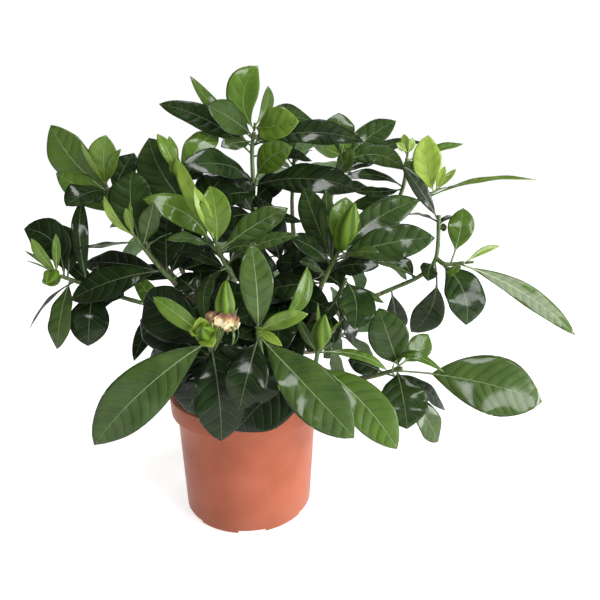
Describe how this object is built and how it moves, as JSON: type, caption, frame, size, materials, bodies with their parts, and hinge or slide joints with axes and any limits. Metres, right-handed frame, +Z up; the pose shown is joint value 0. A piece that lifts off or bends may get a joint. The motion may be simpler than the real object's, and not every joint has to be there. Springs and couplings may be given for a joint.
{
  "type": "potted gardenia",
  "caption": "Small evergreen garden shrub with glossy leaves on forked woody stems, grown in a round nursery pot that stands on a flat surface.",
  "frame": {"origin": "centre of the pot's underside, on the surface it stands on", "axes": "+Z up along the pot's axis, -Y towards the front of the plant (the picture's side), +X to the right in the picture"},
  "size_m": [0.4199, 0.2821, 0.3664],
  "materials": {
    "leaf": "glossy evergreen leaf",
    "young_leaf": "soft young leaf, satin",
    "bark": "rough grey-brown bark",
    "terracotta": "satin moulded plastic",
    "peat": "crumbly peat compost",
    "petal": "withered petal, dull"
  },
  "bodies": {
    "root": {"back_left_leaves": "leaf", "back_low_left_leaves": "leaf", "back_low_right_leaves": "leaf", "back_mid_leaves": "leaf", "back_right_leaves": "leaf", "back_top_leaves": "leaf", "behind_right_top_leaves": "leaf", "behind_right_top_tip": "young_leaf", "centre_right_leaves": "leaf", "centre_right_tip": "young_leaf", "far_left_leaves": "leaf", "far_left_tip": "young_leaf", "front_left_leaves": "leaf", "front_left_tip": "young_leaf", "front_mid_leaves": "leaf", "front_mid_tip": "young_leaf", "front_right_leaves": "leaf", "front_right_tip": "young_leaf", "inner_left_leaves": "leaf", "inner_mid_leaves": "leaf", "inner_right_leaves": "leaf", "left_leaves": "leaf", "left_tip": "young_leaf", "lower_right_leaves": "leaf", "mid_left_leaves": "leaf", "mid_left_tip": "young_leaf", "pot": "terracotta", "right_leaves": "leaf", "right_side_tip": "young_leaf", "right_top_leaves": "leaf", "right_top_tip": "young_leaf", "soil": "peat", "top_leaves": "leaf", "top_right_leaves": "leaf", "top_right_tip": "young_leaf", "top_tip": "young_leaf", "trunk_back": "bark", "trunk_left": "bark", "trunk_mid": "bark", "trunk_right": "bark", "upper_left_leaves": "leaf", "upper_left_tip": "young_leaf", "upper_mid_left_leaves": "leaf", "upper_mid_left_tip": "young_leaf", "withered_petals": "petal"}
  },
  "joints": []
}
